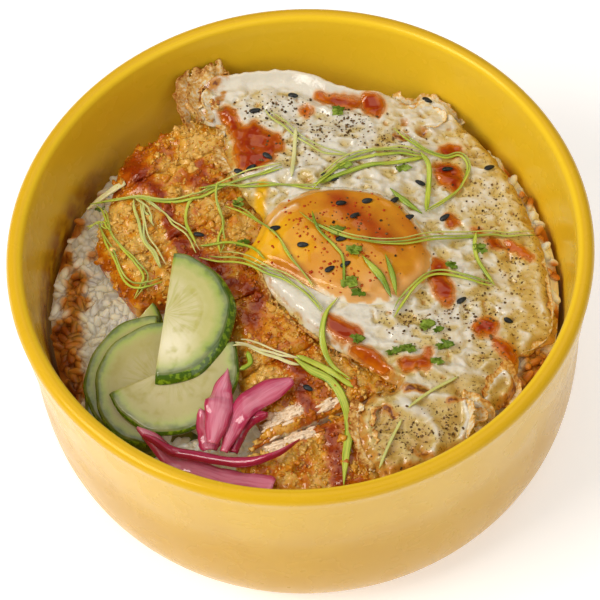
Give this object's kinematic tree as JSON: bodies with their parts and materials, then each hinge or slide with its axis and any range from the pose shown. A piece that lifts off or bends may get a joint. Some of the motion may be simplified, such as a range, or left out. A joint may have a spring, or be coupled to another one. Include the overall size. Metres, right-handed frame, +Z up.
{
  "type": "katsudon",
  "caption": "Deep yellow bowl of rice topped with sliced breaded cutlet, a fried egg, cucumber, pickled onion and scallion shreds.",
  "frame": {"origin": "centre of the bowl's foot, on the surface that it stands on", "axes": "+Z up; +Y away from the viewer of the picture; +X to that viewer's right"},
  "size_m": [0.165, 0.165, 0.077],
  "materials": {
    "bowl_glaze": "satin yellow glaze",
    "steamed_rice": "moist short-grain rice",
    "fried_crumb": "craggy fried breadcrumb",
    "egg_white": "wet set egg white, browned at its edge",
    "egg_yolk": "soft cooked yolk",
    "cucumber": "wet cut flesh with green peel",
    "pickled_onion": "translucent pink, wet",
    "scallion": "thin fresh shreds"
  },
  "bodies": {
    "root": {"bowl": "bowl_glaze", "rice": "steamed_rice", "cutlet_strip_1": "fried_crumb", "cutlet_strip_2": "fried_crumb", "cutlet_strip_3": "fried_crumb", "cutlet_strip_4": "fried_crumb", "cutlet_strip_5": "fried_crumb", "cutlet_strip_6": "fried_crumb", "egg_white": "egg_white", "yolk": "egg_yolk", "cucumber_under": "cucumber", "cucumber_lower": "cucumber", "cucumber_outer": "cucumber", "cucumber_inner": "cucumber", "cucumber_front": "cucumber", "cucumber_top": "cucumber", "cucumber_rear": "cucumber", "onion_rim": "pickled_onion", "onion_long": "pickled_onion", "onion_small": "pickled_onion", "onion_inner": "pickled_onion", "onion_band": "pickled_onion", "onion_petal": "pickled_onion", "shred_left_rim": "scallion", "shred_left_low": "scallion", "shred_left_cross": "scallion", "shred_left_fork": "scallion", "shred_left_short": "scallion", "shred_left_slope": "scallion", "shred_left_loop": "scallion", "shred_left_span": "scallion", "shred_mid_span": "scallion", "shred_mid_drop": "scallion", "shred_mid_slope": "scallion", "shred_low_span": "scallion", "shred_low_fork": "scallion", "shred_back_slope": "scallion", "shred_back_pale": "scallion", "shred_egg_under": "scallion", "shred_egg_arch": "scallion", "shred_egg_down": "scallion", "shred_egg_loop": "scallion", "shred_egg_span": "scallion", "shred_egg_drop": "scallion", "shred_egg_bow": "scallion", "shred_egg_leaf": "scallion", "shred_egg_tip": "scallion", "shred_yolk_leaf": "scallion", "shred_yolk_thin": "scallion", "shred_front_pale": "scallion", "shred_front_main": "scallion", "shred_front_edge": "scallion", "shred_front_branch": "scallion", "shred_front_hook": "scallion", "shred_drape_high": "scallion", "shred_drape_low": "scallion", "shred_rear_leaf": "scallion", "shred_rear_pale": "scallion"}
  },
  "joints": []
}
